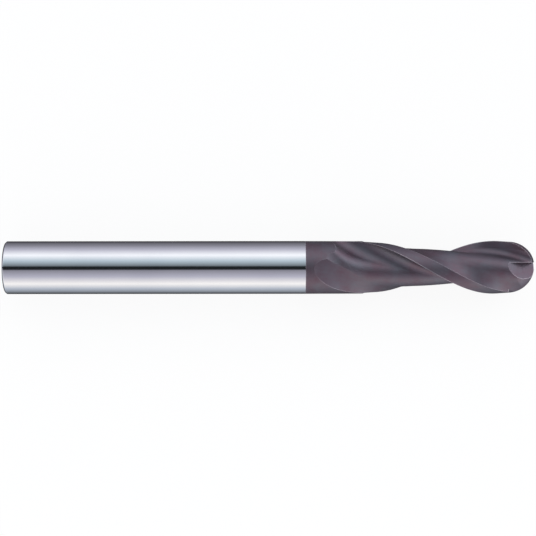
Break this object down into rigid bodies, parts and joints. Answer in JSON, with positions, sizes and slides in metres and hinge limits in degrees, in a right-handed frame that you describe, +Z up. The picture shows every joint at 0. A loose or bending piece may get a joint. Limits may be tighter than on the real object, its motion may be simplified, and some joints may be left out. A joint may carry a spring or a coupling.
{
  "type": "ball nose end mill",
  "caption": "Solid carbide milling cutter with two helical flutes, a ball nose, a dark hard coating and a plain ground shank.",
  "frame": {"origin": "centre of the shank's rear face", "axes": "+X along the tool axis towards the ball, +Z up, with the tool lying on its side; one cutting edge points straight up 21.4 mm behind the tip"},
  "size_m": [0.1, 0.01, 0.01],
  "materials": {
    "ground_carbide": "fine cylindrical grinding, bright, lines run round the shank",
    "carbide_core": "ground carbide, hidden under the coating",
    "hard_coating": "dark violet-grey hard coating, satin, over grinding lines that follow the flutes"
  },
  "bodies": {
    "root": {"shank": "ground_carbide", "fluted_core": "carbide_core", "hard_coating": "hard_coating"}
  },
  "joints": []
}
